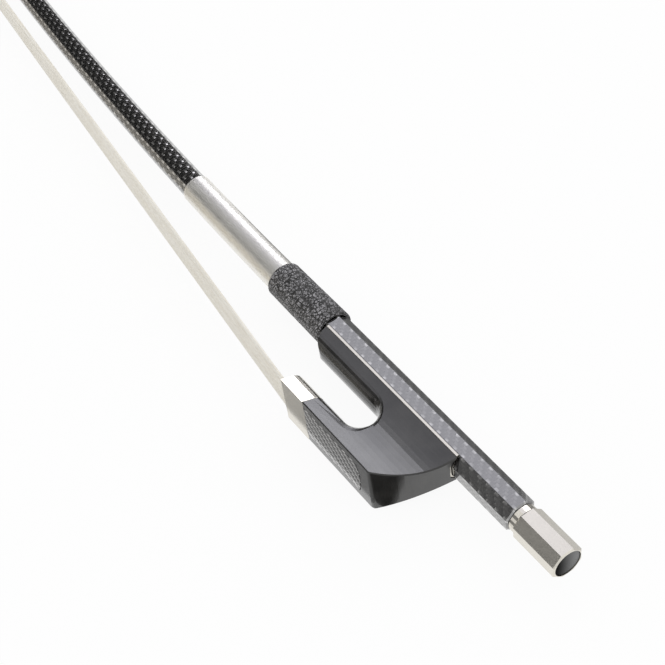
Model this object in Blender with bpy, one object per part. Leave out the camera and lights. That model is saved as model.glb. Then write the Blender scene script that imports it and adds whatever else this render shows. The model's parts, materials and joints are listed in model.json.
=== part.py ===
"""Double bass bow of the French pattern, with a carbon stick, lying on its side.

X runs along the adjusting screw from the button to the head, Y points to the hair, Z is up.
The sizes below count X from the butt face of the stick and Y and Z from the screw's axis.
"""
import math

import bmesh
import bpy
from mathutils import Vector

# Clearances
FIT = 0.0003
GLUE = 0.0002

# Stick
BUTT_FLATS = 0.0130
BUTT_BEVEL = 0.0006
OCTAGON_LENGTH = 0.1220
ROUNDING_LENGTH = 0.0080
ROUND_RADIUS = 0.00655
TIP_RADIUS = 0.0043
STICK_LENGTH = 0.6300
CAMBER_START = 0.1408
CAMBER_RADIUS = 2.985

# Head, in its own frame at the end of the stick: U along it and V towards the hair
HEAD_DEPTH = 0.0193
HEAD_NECK = 0.0125
HEAD_LENGTH = 0.0420
HEAD_CREST = 0.0180
HEAD_HALF_WIDTH = 0.0062
NOSE_HALF_WIDTH = 0.0009
NOSE_THICKNESS = 0.0011
PLATE_THICKNESS = 0.0012
LINER_THICKNESS = 0.0005
HEAD_MORTISE_START = 0.0149
HEAD_MORTISE_LENGTH = 0.0101
HEAD_MORTISE_DEPTH = 0.0084
HEAD_MORTISE_HALF_WIDTH = 0.0046

# Grip and winding
LEATHER_START = 0.1152
LEATHER_END = 0.1516
LEATHER_RADIUS = 0.0083
LEATHER_TAPER = 0.0003
LEATHER_EDGE = 0.0006
WINDING_END = 0.2211
WIRE_DIAMETER = 0.00035
WIRE_BED = 0.00015

# Screw and its bore
SCREW_RADIUS = 0.00175
SHANK_RADIUS = 0.0015
PIN_RADIUS = 0.0012
THREAD_START = 0.0400
THREAD_LENGTH = 0.0240
SCREW_REACH = 0.0960
PIN_LENGTH = 0.0080
BUSH_LENGTH = 0.0100
BUSH_WALL = 0.0009

# Button
COLLAR_RADIUS = 0.0060
COLLAR_LENGTH = 0.0026
BUTTON_FLATS = 0.0129
BUTTON_LENGTH = 0.0223
BUTTON_BEVEL = 0.0005
CORE_RADIUS = 0.0056
EYE_RECESS = 0.0004
EYE_CROWN = 0.0003
BUTTON_FLOOR = 0.0020
SCREW_IN_BUTTON = 0.0160

# Frog
FROG_REAR = 0.0307
TONGUE_TIP = 0.1144
FROG_BOTTOM = 0.0349
FROG_BOTTOM_HALF = 0.01175
CHEEK_PROUD = 0.0002
SIDE_HOLLOW = 0.0024
FROG_BEVEL = 0.0005
HEEL_RADIUS = 0.0515
HEEL_BULGE_Y = 0.0015
HEEL_CORNER = 0.0030
TONGUE_NOSE = 0.0080
FROG_TRAVEL = 0.0080

# Throat: the hole at mid width, and its wider border on the sides
THROAT_TOP = 0.0122
THROAT_BOTTOM = 0.0247
THROAT_BACK = 0.0653
BORDER_BACK = 0.0611
BORDER_TONGUE = 0.0082
BORDER_UPPER_RADIUS = 0.0138
BORDER_LOWER_RADIUS = 0.0064
BORDER_BOTTOM = 0.0321
BORDER_CHEEK = 0.0310
BORDER_STEP = 0.00005

# Underslide, its screws and the eyelet
LINING = 0.00055
LINING_SETBACK = 0.0007
SCREW_HEAD_RADIUS = 0.0014
SCREW_HEAD_DEPTH = 0.0004
SCREW_SHANK_RADIUS = 0.0007
LINING_SCREW_LENGTH = 0.0030
REAR_SCREW_SETBACK = 0.0073
FRONT_SCREW_SETBACK = 0.0120
EYELET_SETBACK = 0.0233
EYELET_LENGTH = 0.0060
EYELET_HALF_WIDTH = 0.0026
EYELET_CROWN = 0.0032
EYELET_SHANK_RADIUS = 0.0018
EYELET_SHANK_END = 0.0180

# Ferrule, wedge, slide and hair
FERRULE_REAR = 0.0850
FERRULE_LENGTH = 0.0143
FERRULE_WALL = 0.0007
FERRULE_BEVEL = 0.00015
TENON_SETBACK = 0.0007
SLIDE_REAR = 0.0496
SLIDE_HALF_WIDTH = 0.0080
SLIDE_DOVETAIL = 0.0010
SLIDE_THICKNESS = 0.0027
SLIDE_BULGE = 0.0016
SLIDE_UNDER_FERRULE = 0.0020
HAIR_THICKNESS = 0.0017
HAIR_HALF_AT_KNOT = 0.0060
HEAD_HAIR_THICKNESS = 0.0026
HEAD_HAIR_HALF = 0.0043
HAIR_GATHER = 1.6
HAIR_BEND = 0.00145
KNOT_LENGTH = 0.0034
HEAD_KNOT_DEPTH = 0.0032
FROG_MORTISE_REAR = 0.0555
FROG_MORTISE_LENGTH = 0.0090
FROG_MORTISE_DEPTH = 0.0045
FROG_MORTISE_HALF_WIDTH = 0.0055
WEDGE_LENGTH = 0.0100

# Facets
SIDES = 32
SMALL_SIDES = 20
SMOOTH_ANGLE = math.radians(28)
EIGHTH = math.tan(math.radians(22.5))

# Sizes that follow from those above
FERRULE_FRONT = FERRULE_REAR + FERRULE_LENGTH
FROG_TOP = BUTT_FLATS / 2 * EIGHTH
FROG_TOP_HALF = BUTT_FLATS / 2 + CHEEK_PROUD
SIDE_SLOPE = (FROG_BOTTOM_HALF - FROG_TOP_HALF) / (FROG_BOTTOM - FROG_TOP)
THROAT_RADIUS = (THROAT_BOTTOM - THROAT_TOP) / 2
THROAT_CENTRE = (THROAT_BACK + THROAT_RADIUS, (THROAT_BOTTOM + THROAT_TOP) / 2)
EYELET_X = FROG_REAR + EYELET_SETBACK
HEAD_UNDERSIDE = HEAD_DEPTH - PLATE_THICKNESS - LINER_THICKNESS - 2 * GLUE
SLIDE_INSIDE = FROG_BOTTOM - SLIDE_THICKNESS
HAIR_IN_FROG = SLIDE_INSIDE - FIT - HAIR_THICKNESS / 2
HAIR_IN_FERRULE = FROG_BOTTOM - FERRULE_WALL - GLUE - HAIR_THICKNESS / 2
SLIDE_FRONT = FERRULE_REAR + SLIDE_UNDER_FERRULE
CHANNEL_ROOF = HAIR_IN_FROG - HAIR_THICKNESS / 2 - FIT
BUTTON_END = -FIT - COLLAR_LENGTH - BUTTON_LENGTH
CUT = 0.0060


def clear_scene():
    for item in list(bpy.data.objects):
        bpy.data.objects.remove(item)


def material(name, colour, roughness, metallic=0.0):
    made = bpy.data.materials.new(name)
    made.use_nodes = True
    shader = made.node_tree.nodes["Principled BSDF"]
    shader.inputs["Base Color"].default_value = (*colour, 1.0)
    shader.inputs["Roughness"].default_value = roughness
    shader.inputs["Metallic"].default_value = metallic
    made.diffuse_color = (*colour, 1.0)
    return made


def new_object(name, form):
    mesh = bpy.data.meshes.new(name)
    form.to_mesh(mesh)
    form.free()
    made = bpy.data.objects.new(name, mesh)
    bpy.context.collection.objects.link(made)
    return made


def loft(name, rings, closed=False, triangles=False):
    """A solid through rings of points: capped at both ends, or joined round to its start."""
    form = bmesh.new()
    loops = [[form.verts.new(point) for point in ring] for ring in rings]
    pairs = list(zip(loops, loops[1:]))
    if closed:
        pairs.append((loops[-1], loops[0]))
    else:
        form.faces.new(loops[0])
        form.faces.new(loops[-1])
    for near, far in pairs:
        for i in range(len(near)):
            j = (i + 1) % len(near)
            form.faces.new((near[i], near[j], far[j], far[i]))
    bmesh.ops.recalc_face_normals(form, faces=form.faces)
    if triangles:
        bmesh.ops.triangulate(form, faces=form.faces)
    return new_object(name, form)


def circle(x, radius, sides=SIDES):
    """A ring round the screw's axis."""
    turns = [2 * math.pi * k / sides for k in range(sides)]
    return [Vector((x, radius * math.cos(a), radius * math.sin(a))) for a in turns]


def turned(name, profile, sides=SIDES, closed=False):
    """A lathe form round the screw's axis from (x, radius) pairs."""
    return loft(name, [circle(x, radius, sides) for x, radius in profile], closed)


def along_x(name, outline, stations):
    """A prism of (y, z) outline between two places on the screw's axis."""
    return loft(name, [[Vector((x, y, z)) for y, z in outline] for x in stations])


def box(name, low, high):
    outline = [(low[1], low[2]), (high[1], low[2]), (high[1], high[2]), (low[1], high[2])]
    return along_x(name, outline, (low[0], high[0]))


def post(name, x, radius, low, high):
    """An upright cylinder of the frog, along Y, that crosses the screw's axis."""
    turns = [2 * math.pi * (k + 0.5) / SMALL_SIDES for k in range(SMALL_SIDES)]
    return loft(name, [[Vector((x + radius * math.cos(a), y, radius * math.sin(a)))
                        for a in turns] for y in (low, high)])


def bake(item):
    """Replaces an object's mesh by its modifiers' result."""
    graph = bpy.context.evaluated_depsgraph_get()
    graph.update()
    old = item.data
    item.data = bpy.data.meshes.new_from_object(item.evaluated_get(graph))
    item.modifiers.clear()
    bpy.data.meshes.remove(old)


def combine(item, others, operation):
    for other in others:
        step = item.modifiers.new("Boolean", "BOOLEAN")
        step.operation = operation
        step.object = other
        bake(item)
        bpy.data.objects.remove(other)
    return item


def cut(item, *cutters):
    return combine(item, cutters, "DIFFERENCE")


def fuse(item, *others):
    return combine(item, others, "UNION")


def inset(outline, amount):
    """Moves each side of a closed outline inwards by amount, or outwards if it is negative."""
    count = len(outline)
    area = sum(outline[i - 1][0] * outline[i][1] - outline[i][0] * outline[i - 1][1]
               for i in range(count))
    turn = math.copysign(1.0, area)
    moved = []
    for i in range(count):
        before = Vector(outline[i]) - Vector(outline[i - 1])
        after = Vector(outline[(i + 1) % count]) - Vector(outline[i])
        first = Vector((-before.y, before.x)).normalized() * turn
        second = Vector((-after.y, after.x)).normalized() * turn
        middle = (first + second).normalized()
        moved.append(tuple(Vector(outline[i]) + middle * (amount / middle.dot(first))))
    return moved


def octagon(flats, sides=SIDES):
    """An octagon with flats on the Y and Z sides, as points spread evenly by angle."""
    points = []
    for k in range(sides):
        angle = 2 * math.pi * k / sides
        off_flat = (angle + math.pi / 8) % (math.pi / 4) - math.pi / 8
        radius = flats / 2 / math.cos(off_flat)
        points.append((radius * math.cos(angle), radius * math.sin(angle)))
    return points


def stick_radius(x):
    share = (x - OCTAGON_LENGTH) / (STICK_LENGTH - OCTAGON_LENGTH)
    return ROUND_RADIUS + (TIP_RADIUS - ROUND_RADIUS) * share


def stick_place(x, y, z):
    """A point of the cross-section that the cambered stick has at x."""
    bend = max(x - CAMBER_START, 0.0)
    slope = math.atan(bend / CAMBER_RADIUS)
    return Vector((x + y * math.sin(slope), y * math.cos(slope) - bend ** 2 / 2 / CAMBER_RADIUS, z))


def stick_ring(x, outline):
    return [stick_place(x, y, z) for y, z in outline]


def round_outline(radius, sides=SIDES):
    turns = [2 * math.pi * k / sides for k in range(sides)]
    return [(radius * math.cos(a), radius * math.sin(a)) for a in turns]


def blend_outlines(first, second, share):
    return [(a[0] + (b[0] - a[0]) * share, a[1] + (b[1] - a[1]) * share)
            for a, b in zip(first, second)]


def head_place(u, v, z):
    """A point of the head's own frame, which starts where the stick ends."""
    slope = math.atan((STICK_LENGTH - CAMBER_START) / CAMBER_RADIUS)
    start = stick_place(STICK_LENGTH, 0.0, 0.0)
    return start + Vector((u * math.cos(slope) + v * math.sin(slope),
                           v * math.cos(slope) - u * math.sin(slope), z))


def ease(share):
    return share * share * (3 - 2 * share)


def plate_half_width(u):
    """Half the width of the head's face, from its back edge to its nose."""
    share = (u - HEAD_NECK) / (HEAD_LENGTH - HEAD_NECK)
    full = HEAD_HALF_WIDTH - NOSE_HALF_WIDTH
    return NOSE_HALF_WIDTH + full * math.sqrt(max(1 - share ** 2.6, 0.0))


def head_outline(u, top, bottom, grown):
    """The head's section at u as (v, z) points, widening from its round back to its face."""
    crown = min(TIP_RADIUS, 0.45 * (bottom - top))
    face = plate_half_width(max(u, HEAD_NECK))
    side = []
    for j in range(6):
        turn = math.radians(18 * j)
        side.append((top + crown * (1 - math.cos(turn)), crown * math.sin(turn)))
    for j in range(1, 11):
        v = top + crown + (bottom - top - crown) * j / 10
        rise = (v - top - crown) / (HEAD_UNDERSIDE - top - crown)
        side.append((v, crown + (face - crown) * ease(rise)))
    loop = [(bottom, 0.0)] + side[:0:-1] + [(top, 0.0)] + [(v, -z) for v, z in side[1:]]
    return blend_outlines(round_outline(TIP_RADIUS), loop, grown)


def head_rings():
    """Sections from the end of the stick, down the back of the head and on to its nose."""
    rings = []
    steps = 10
    for i in range(1, steps + 1):
        share = math.sin(math.pi / 2 * i / steps)
        drop = 1 - math.sqrt(max(1 - share ** 2, 0.0))
        bottom = TIP_RADIUS + (HEAD_UNDERSIDE - TIP_RADIUS) * drop
        rings.append((HEAD_NECK * share, -TIP_RADIUS, bottom, ease(share)))
    steps = 12
    for i in range(1, steps + 1):
        u = HEAD_NECK + (HEAD_LENGTH - HEAD_NECK) * i / steps
        fall = ease(min(max((u - HEAD_CREST) / (HEAD_LENGTH - HEAD_CREST), 0.0), 1.0))
        top = -TIP_RADIUS + (HEAD_UNDERSIDE + TIP_RADIUS - NOSE_THICKNESS) * fall
        rings.append((u, top, HEAD_UNDERSIDE, 1.0))
    return [[head_place(u, v, z) for v, z in head_outline(u, top, bottom, grown)]
            for u, top, bottom, grown in rings]


def head_box(name, low, high):
    """A block in the head's frame, from (u, v, z) corners."""
    corners = [(low[1], low[2]), (high[1], low[2]), (high[1], high[2]), (low[1], high[2])]
    return loft(name, [[head_place(u, v, z) for v, z in corners] for u in (low[0], high[0])])


def make_stick():
    octagonal = octagon(BUTT_FLATS)
    rings = [stick_ring(0.0, octagon(BUTT_FLATS - 2 * BUTT_BEVEL)),
             stick_ring(BUTT_BEVEL, octagonal)]
    steps = 4
    for i in range(steps + 1):
        x = OCTAGON_LENGTH + ROUNDING_LENGTH * i / steps
        shape = blend_outlines(octagonal, round_outline(stick_radius(x)), ease(i / steps))
        rings.append(stick_ring(x, shape))
    steps = 26
    start = OCTAGON_LENGTH + ROUNDING_LENGTH
    for i in range(1, steps + 1):
        x = start + (STICK_LENGTH - start) * i / steps
        rings.append(stick_ring(x, round_outline(stick_radius(x))))
    stick = loft("stick", rings + head_rings())
    mouth = HEAD_UNDERSIDE - HEAD_MORTISE_DEPTH
    mortise = head_box("mortise", (HEAD_MORTISE_START, mouth, -HEAD_MORTISE_HALF_WIDTH),
                       (HEAD_MORTISE_START + HEAD_MORTISE_LENGTH, HEAD_UNDERSIDE + CUT,
                        HEAD_MORTISE_HALF_WIDTH))
    bush_hole = SHANK_RADIUS + FIT + BUSH_WALL + GLUE
    bore = turned("bore", [(-CUT, bush_hole), (BUSH_LENGTH + GLUE, bush_hole),
                           (BUSH_LENGTH + GLUE, SCREW_RADIUS + 2 * FIT),
                           (SCREW_REACH - PIN_LENGTH + FIT, SCREW_RADIUS + 2 * FIT),
                           (SCREW_REACH - PIN_LENGTH + FIT, PIN_RADIUS + FIT),
                           (SCREW_REACH + FIT, PIN_RADIUS + FIT)], SMALL_SIDES)
    reach = EYELET_LENGTH / 2 + 2 * FIT
    slot = box("slot", (EYELET_X - FROG_TRAVEL - reach, -EYELET_CROWN - FIT, -EYELET_HALF_WIDTH - FIT),
               (EYELET_X + reach, BUTT_FLATS, EYELET_HALF_WIDTH + FIT))
    return cut(stick, mortise, bore, slot)


def make_head_layer(name, top, bottom):
    """A leaf of the head's face, shaped like the head and open over its mortise."""
    steps = 14
    side = []
    for i in range(steps + 1):
        u = HEAD_NECK + (HEAD_LENGTH - HEAD_NECK) * i / steps
        side.append((u, plate_half_width(u)))
    outline = side + [(u, -z) for u, z in reversed(side)]
    layer = loft(name, [[head_place(u, v, z) for u, z in outline] for v in (top, bottom)])
    opening = head_box("opening", (HEAD_MORTISE_START, top - CUT, -HEAD_MORTISE_HALF_WIDTH),
                       (HEAD_MORTISE_START + HEAD_MORTISE_LENGTH, bottom + CUT,
                        HEAD_MORTISE_HALF_WIDTH))
    return cut(layer, opening)


def make_head_pieces():
    liner_top = HEAD_UNDERSIDE + GLUE
    liner = make_head_layer("head_liner", liner_top, liner_top + LINER_THICKNESS)
    plate = make_head_layer("head_plate", HEAD_DEPTH - PLATE_THICKNESS, HEAD_DEPTH)
    floor = HEAD_UNDERSIDE - HEAD_MORTISE_DEPTH
    start = HEAD_MORTISE_START + FIT
    end = HEAD_MORTISE_START + HEAD_MORTISE_LENGTH - FIT
    half = HEAD_MORTISE_HALF_WIDTH - FIT
    knot_top = floor + FIT + HEAD_KNOT_DEPTH
    knot = head_box("head_hair_knot", (start, floor + FIT, -half), (end, knot_top, half))
    plug = head_box("head_hair_plug", (start + HEAD_HAIR_THICKNESS + FIT, knot_top + FIT, -half),
                    (end, HEAD_DEPTH - FIT, half))
    return liner, plate, knot, plug


def make_leather():
    """A sleeve over the end of the octagon, with rounded edges."""
    inner = BUTT_FLATS / 2 / math.cos(math.pi / 8) + FIT
    loose = OCTAGON_LENGTH + ROUNDING_LENGTH
    outer_end = LEATHER_RADIUS - LEATHER_TAPER
    profile = [(LEATHER_START, inner), (LEATHER_START, LEATHER_RADIUS - LEATHER_EDGE),
               (LEATHER_START + LEATHER_EDGE, LEATHER_RADIUS),
               ((LEATHER_START + LEATHER_END) / 2, LEATHER_RADIUS),
               (LEATHER_END - LEATHER_EDGE, outer_end), (LEATHER_END, outer_end - LEATHER_EDGE),
               (LEATHER_END, stick_radius(LEATHER_END) + FIT), (loose, inner)]
    return loft("grip_leather", [stick_ring(x, round_outline(r)) for x, r in profile], closed=True)


def make_winding():
    """The close wire winding as one sleeve with rounded ends, along the cambered stick."""
    start = LEATHER_END + FIT
    steps = 7
    stations = [start + (WINDING_END - start) * i / steps for i in range(steps + 1)]
    edge = WIRE_DIAMETER / 2
    outer = [(start, edge)] + [(x, WIRE_DIAMETER) for x in (start + edge, *stations[1:-1])]
    outer += [(WINDING_END - edge, WIRE_DIAMETER), (WINDING_END, edge)]
    profile = outer + [(x, 0.0) for x in reversed(stations)]
    return loft("winding", [stick_ring(x, round_outline(stick_radius(x) + WIRE_BED + rise))
                            for x, rise in profile], closed=True)


def make_screw():
    start = BUTTON_END + BUTTON_LENGTH - SCREW_IN_BUTTON
    thread_end = THREAD_START + THREAD_LENGTH
    return turned("adjusting_screw", [
        (start, SHANK_RADIUS), (THREAD_START, SHANK_RADIUS), (THREAD_START, SCREW_RADIUS),
        (thread_end, SCREW_RADIUS), (thread_end, SHANK_RADIUS),
        (SCREW_REACH - PIN_LENGTH, SHANK_RADIUS), (SCREW_REACH - PIN_LENGTH, PIN_RADIUS),
        (SCREW_REACH, PIN_RADIUS)], SMALL_SIDES)


def make_bush():
    bore = SHANK_RADIUS + FIT
    return turned("butt_bush", [(FIT, bore), (FIT, bore + BUSH_WALL), (BUSH_LENGTH, bore + BUSH_WALL),
                                (BUSH_LENGTH, bore)], SMALL_SIDES, closed=True)


def make_button():
    """An octagonal metal shell with a round collar, and the black core set in its end."""
    front = BUTTON_END + BUTTON_LENGTH
    sections = [(-FIT, round_outline(COLLAR_RADIUS)), (front, round_outline(COLLAR_RADIUS)),
                (front, octagon(BUTTON_FLATS - 2 * BUTTON_BEVEL)),
                (front - BUTTON_BEVEL, octagon(BUTTON_FLATS)),
                (BUTTON_END + BUTTON_BEVEL, octagon(BUTTON_FLATS)),
                (BUTTON_END, octagon(BUTTON_FLATS - 2 * BUTTON_BEVEL)),
                (BUTTON_END, round_outline(CORE_RADIUS + GLUE)),
                (front - BUTTON_FLOOR, round_outline(CORE_RADIUS + GLUE)),
                (front - BUTTON_FLOOR, round_outline(SHANK_RADIUS + GLUE)),
                (-FIT, round_outline(SHANK_RADIUS + GLUE))]
    shell = loft("button_shell", [[Vector((x, y, z)) for y, z in outline]
                                  for x, outline in sections], closed=True)
    blind = front - SCREW_IN_BUTTON - GLUE
    mouth = front - BUTTON_FLOOR - GLUE
    eye = [(BUTTON_END + EYE_RECESS - EYE_CROWN * (1 - share ** 2), CORE_RADIUS * share)
           for share in (1.0, 0.8, 0.6, 0.4, 0.2)]
    core = turned("button_core", [(blind, SHANK_RADIUS + GLUE), (mouth, SHANK_RADIUS + GLUE),
                                  (mouth, CORE_RADIUS)] + eye)
    return shell, core


def side_half(y):
    """Half the frog's width at a height: its hollow sides flare towards the hair."""
    share = (y - FROG_TOP) / (FROG_BOTTOM - FROG_TOP)
    return FROG_TOP_HALF + SIDE_SLOPE * (y - FROG_TOP) - SIDE_HOLLOW * 4 * share * (1 - share)


def frog_front(y):
    """The frog's front at a height, before the throat: the tongue's nose, then down to the tenon."""
    tenon = FERRULE_FRONT - TENON_SETBACK
    if y <= THROAT_TOP:
        turn = math.asin(min((y - FROG_TOP) / (THROAT_TOP - FROG_TOP), 1.0))
        return TONGUE_TIP - TONGUE_NOSE * (1 - math.cos(turn))
    share = min((y - THROAT_TOP) / (THROAT_BOTTOM - THROAT_TOP), 1.0)
    return TONGUE_TIP - TONGUE_NOSE + (tenon - TONGUE_TIP + TONGUE_NOSE) * share


def heel_corner():
    """The centre of the heel's lower corner, and the turn at which the heel's curve meets it."""
    level = FROG_BOTTOM - HEEL_CORNER
    meeting = math.asin((level - HEEL_BULGE_Y) / (HEEL_RADIUS - HEEL_CORNER))
    return FROG_REAR + HEEL_RADIUS - (HEEL_RADIUS - HEEL_CORNER) * math.cos(meeting), level, meeting


def frog_rear(y):
    """The frog's rear at a height: the heel's long curve, then its round corner."""
    middle, level, meeting = heel_corner()
    if y > level + HEEL_CORNER * math.sin(meeting):
        return middle - math.sqrt(max(HEEL_CORNER ** 2 - (y - level) ** 2, 0.0))
    return FROG_REAR + HEEL_RADIUS - math.sqrt(HEEL_RADIUS ** 2 - (y - HEEL_BULGE_Y) ** 2)


def frog_levels():
    """Heights of the frog's sections, closer where its front or its rear turns quickly."""
    middle, level, meeting = heel_corner()
    levels = [FROG_BOTTOM - FROG_BEVEL, FROG_BOTTOM]
    steps = 7
    levels += [FROG_TOP + (THROAT_TOP - FROG_TOP) * math.sin(math.pi / 2 * i / steps)
               for i in range(steps + 1)]
    steps = 5
    levels += [level + HEEL_CORNER * math.sin(meeting + (math.pi / 2 - meeting) * i / steps)
               for i in range(steps)]
    steps = 9
    start, end = THROAT_TOP, level + HEEL_CORNER * math.sin(meeting)
    levels += [start + (end - start) * i / steps for i in range(1, steps)]
    kept = []
    for y in sorted(levels):
        if not kept or y - kept[-1] > FIT / 6:
            kept.append(y)
    return kept


def throat_paths():
    """The throat's edge at mid width and on the frog's sides, point for point."""
    front = TONGUE_TIP + CUT
    hole = [(front, THROAT_TOP)]
    border = [(front, BORDER_TONGUE)]
    steps = 16
    for i in range(steps + 1):
        turn = math.pi * i / steps
        hole.append((THROAT_CENTRE[0] - THROAT_RADIUS * math.sin(turn),
                     THROAT_CENTRE[1] - THROAT_RADIUS * math.cos(turn)))
        if turn <= math.pi / 2:
            radius, level = BORDER_UPPER_RADIUS, BORDER_TONGUE + BORDER_UPPER_RADIUS
        else:
            radius, level = BORDER_LOWER_RADIUS, BORDER_CHEEK - BORDER_LOWER_RADIUS
        border.append((BORDER_BACK + radius - radius * math.sin(turn), level - radius * math.cos(turn)))
    for x in (FERRULE_REAR, front):
        hole.append((x, THROAT_BOTTOM))
        border.append((x, BORDER_BOTTOM))
    return hole, border


def throat_cutter():
    """The throat's hollow, whose edges roll over from mid width out to the sides."""
    hole, border = throat_paths()
    steps = 6
    rings = []
    for i in range(-steps, steps + 1):
        turn = math.pi / 2 * i / steps
        points = blend_outlines(hole, border, 1 - math.cos(turn))
        ring = []
        for (x, y), edge in zip(points, border):
            reach = min(side_half(edge[1]) * abs(math.sin(turn)), side_half(y)) - BORDER_STEP
            ring.append(Vector((x, y, math.copysign(max(reach, 0.0), turn))))
        rings.append(ring)
    for end, side in ((0, -1), (len(rings) + 1, 1)):
        rings.insert(end, [Vector((x, y, side * (FROG_BOTTOM_HALF + CUT))) for x, y in border])
    return loft("throat", rings, triangles=True)


def ferrule_half(y):
    """Half the width of the ferrule and of the frog's arm at a height: an arch, then the side."""
    share = min((y - THROAT_BOTTOM) / (BORDER_BOTTOM - THROAT_BOTTOM), 1.0)
    return min(side_half(BORDER_BOTTOM) * math.sqrt(1 - (1 - share) ** 2), side_half(y)) \
        if share < 1 else side_half(y)


def ferrule_outline():
    """The D of the ferrule and of the frog's arm, as (y, z) points, flat towards the hair."""
    side = []
    steps = 8
    for i in range(steps + 1):
        turn = math.pi / 2 * i / steps
        y = THROAT_BOTTOM + (BORDER_BOTTOM - THROAT_BOTTOM) * (1 - math.cos(turn))
        side.append((y, ferrule_half(y)))
    side.append((FROG_BOTTOM, side_half(FROG_BOTTOM)))
    return side + [(y, -z) for y, z in reversed(side[1:])]


def slide_plan(half_width, rear, front):
    """The slide seen from the hair, as (x, z) points, with its rounded rear end."""
    points = [(front, half_width)]
    steps = 8
    for i in range(steps + 1):
        share = 1 - 2 * i / steps
        points.append((rear + SLIDE_BULGE * share ** 2, half_width * share))
    points.append((front, -half_width))
    return points


def slide_block(name, gap, front, bottom):
    """The slide's dovetail, grown by gap on its sides and at its rear."""
    levels = ((SLIDE_INSIDE - gap, SLIDE_HALF_WIDTH + SLIDE_DOVETAIL + gap), (bottom, None))
    rings = []
    for y, half in levels:
        if half is None:
            share = (y - SLIDE_INSIDE) / SLIDE_THICKNESS
            half = SLIDE_HALF_WIDTH + SLIDE_DOVETAIL * (1 - share) + gap
        plan = slide_plan(half, SLIDE_REAR - gap, front)
        rings.append([Vector((x, y, z)) for x, z in plan])
    return loft(name, rings)


def hair_mouth_half():
    """Half the hair's width where it leaves the ferrule."""
    return ferrule_half(HAIR_IN_FERRULE - HAIR_THICKNESS / 2) - FERRULE_WALL - FIT


def hair_half_width(x):
    """Half the hair's width along the screw's axis: knot, ferrule, then slowly to the head."""
    if x <= FERRULE_FRONT:
        start = FROG_MORTISE_REAR + KNOT_LENGTH
        share = max((x - start) / (FERRULE_FRONT - start), 0.0)
        return HAIR_HALF_AT_KNOT + (hair_mouth_half() - HAIR_HALF_AT_KNOT) * share
    share = min((x - FERRULE_FRONT) / (STICK_LENGTH - FERRULE_FRONT), 1.0)
    return hair_mouth_half() + (HEAD_HAIR_HALF - hair_mouth_half()) * share ** HAIR_GATHER


def channel_cutter():
    """Room for the hair between the slide and the frog, from the mortise to the ferrule."""
    rings = []
    for x in (FROG_MORTISE_REAR, FERRULE_REAR, FERRULE_FRONT + CUT):
        half = hair_half_width(min(x, FERRULE_FRONT)) + FIT
        levels = (CHANNEL_ROOF, SLIDE_INSIDE)
        rings.append([Vector((x, y, z)) for y, z in ((levels[0], -half), (levels[1], -half),
                                                      (levels[1], half), (levels[0], half))])
    return loft("channel", rings)


def make_frog():
    rings = []
    for y in frog_levels():
        rear, front, bevel = frog_rear(y), frog_front(y), FROG_BEVEL
        half = side_half(y) - max(bevel - (FROG_BOTTOM - y), 0.0)
        side = [(rear, half - bevel), (rear + bevel, half), (front - bevel, half), (front, half - bevel)]
        rings.append([Vector((x, y, z)) for x, z in side + [(x, -z) for x, z in reversed(side)]])
    frog = loft("frog_body", rings)
    ring = ferrule_outline()
    tight = inset(ring, FERRULE_WALL + GLUE)
    wide = inset(ring, -CUT)
    seat = loft("seat", [[Vector((x, y, z)) for y, z in points] for x, points in
                         ((FERRULE_REAR - GLUE, wide), (FERRULE_FRONT + CUT, wide),
                          (FERRULE_FRONT + CUT, tight), (FERRULE_REAR - GLUE, tight))], closed=True)
    stick_gap = 2 * (FIT + LINING + GLUE)
    channel = along_x("stick_channel", octagon(BUTT_FLATS + stick_gap, 8 * 4),
                      (FROG_REAR - CUT, TONGUE_TIP + CUT))
    roof = box("tenon_floor", (SLIDE_FRONT, CHANNEL_ROOF, -FROG_BOTTOM_HALF - CUT),
               (FERRULE_FRONT + CUT, FROG_BOTTOM + CUT, FROG_BOTTOM_HALF + CUT))
    mortise = box("frog_mortise", (FROG_MORTISE_REAR, CHANNEL_ROOF - FROG_MORTISE_DEPTH,
                                   -FROG_MORTISE_HALF_WIDTH),
                  (FROG_MORTISE_REAR + FROG_MORTISE_LENGTH, SLIDE_INSIDE, FROG_MORTISE_HALF_WIDTH))
    groove = slide_block("groove", FIT, FERRULE_FRONT + CUT, FROG_BOTTOM + CUT)
    shank = post("eyelet_hole", EYELET_X, EYELET_SHANK_RADIUS + FIT, 0.0, EYELET_SHANK_END + FIT)
    pilots = [post("pilot", x, SCREW_SHANK_RADIUS + GLUE, 0.0, lining_floor() + LINING_SCREW_LENGTH)
              for x in lining_screw_places()]
    return cut(frog, shank, *pilots, throat_cutter(), channel, seat, roof, groove,
               channel_cutter(), mortise)


def make_ferrule():
    outline = ferrule_outline()
    sections = [(FERRULE_REAR, FERRULE_BEVEL), (FERRULE_REAR + FERRULE_BEVEL, 0.0),
                (FERRULE_FRONT - FERRULE_BEVEL, 0.0), (FERRULE_FRONT, FERRULE_BEVEL),
                (FERRULE_FRONT, FERRULE_WALL), (FERRULE_REAR, FERRULE_WALL)]
    return loft("ferrule", [[Vector((x, y, z)) for y, z in inset(outline, depth)]
                            for x, depth in sections], closed=True)


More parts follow.
